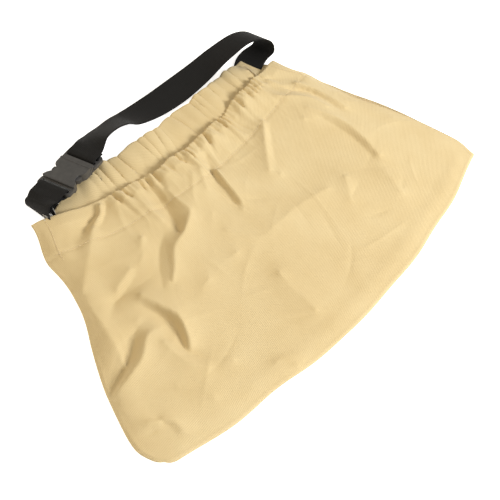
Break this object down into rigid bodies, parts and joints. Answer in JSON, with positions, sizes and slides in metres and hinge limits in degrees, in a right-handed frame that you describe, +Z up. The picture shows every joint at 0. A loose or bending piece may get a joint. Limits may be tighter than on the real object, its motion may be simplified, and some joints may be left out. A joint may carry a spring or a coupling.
{
  "type": "fruit picking bag",
  "caption": "Fan-shaped canvas harvest bag with an elasticated mouth, worn on a webbing waist belt closed by a side-release buckle.",
  "frame": {"origin": "underside of the back panel, midway between the mouth and the bottom edge, where the bag rests", "axes": "+X along the mouth towards the end where the long strap is sewn in, +Y from the bottom edge to the mouth, +Z up out of the panel it lies on"},
  "size_m": [0.6146, 0.4077, 0.048],
  "materials": {
    "canvas": "khaki cotton canvas, fine twill, matt with a faint sheen",
    "elastic": "woven knitted elastic, off-white",
    "thread": "polyester sewing thread",
    "webbing": "black polyester webbing, fine ribs",
    "buckle_plastic": "dark grey moulded acetal, satin"
  },
  "bodies": {
    "bag": {"back_panel": "canvas", "front_panel": "canvas", "back_elastic": "elastic", "front_elastic": "elastic", "left_seam": "thread", "right_seam": "thread", "bottom_seam": "thread", "long_strap": "webbing", "short_strap": "webbing", "left_strap_tack": "thread", "right_strap_tack": "thread", "buckle_socket": "buckle_plastic"},
    "insert": {"buckle_insert": "buckle_plastic"},
    "near_latch": {"near_latch": "buckle_plastic"},
    "far_latch": {"far_latch": "buckle_plastic"}
  },
  "joints": [
    {"name": "buckle_release", "type": "slide", "parent": "bag", "child": "insert", "axis": [0.9751, 0.2215, 0], "range_m": [0, 0.036], "deforming": ["long_strap", "near_latch", "far_latch"]},
    {"name": "near_latch_press", "type": "hinge", "parent": "insert", "child": "near_latch", "pos_m": [-0.12208, 0.18457, 0.01649], "axis": [-0.0442, 0.1944, 0.9799], "range_deg": [-8, 0], "stiffness_Nm_per_rad": 1},
    {"name": "far_latch_press", "type": "hinge", "parent": "insert", "child": "far_latch", "pos_m": [-0.12859, 0.21323, 0.01051], "axis": [-0.0442, 0.1944, 0.9799], "range_deg": [0, 8], "stiffness_Nm_per_rad": 1}
  ]
}
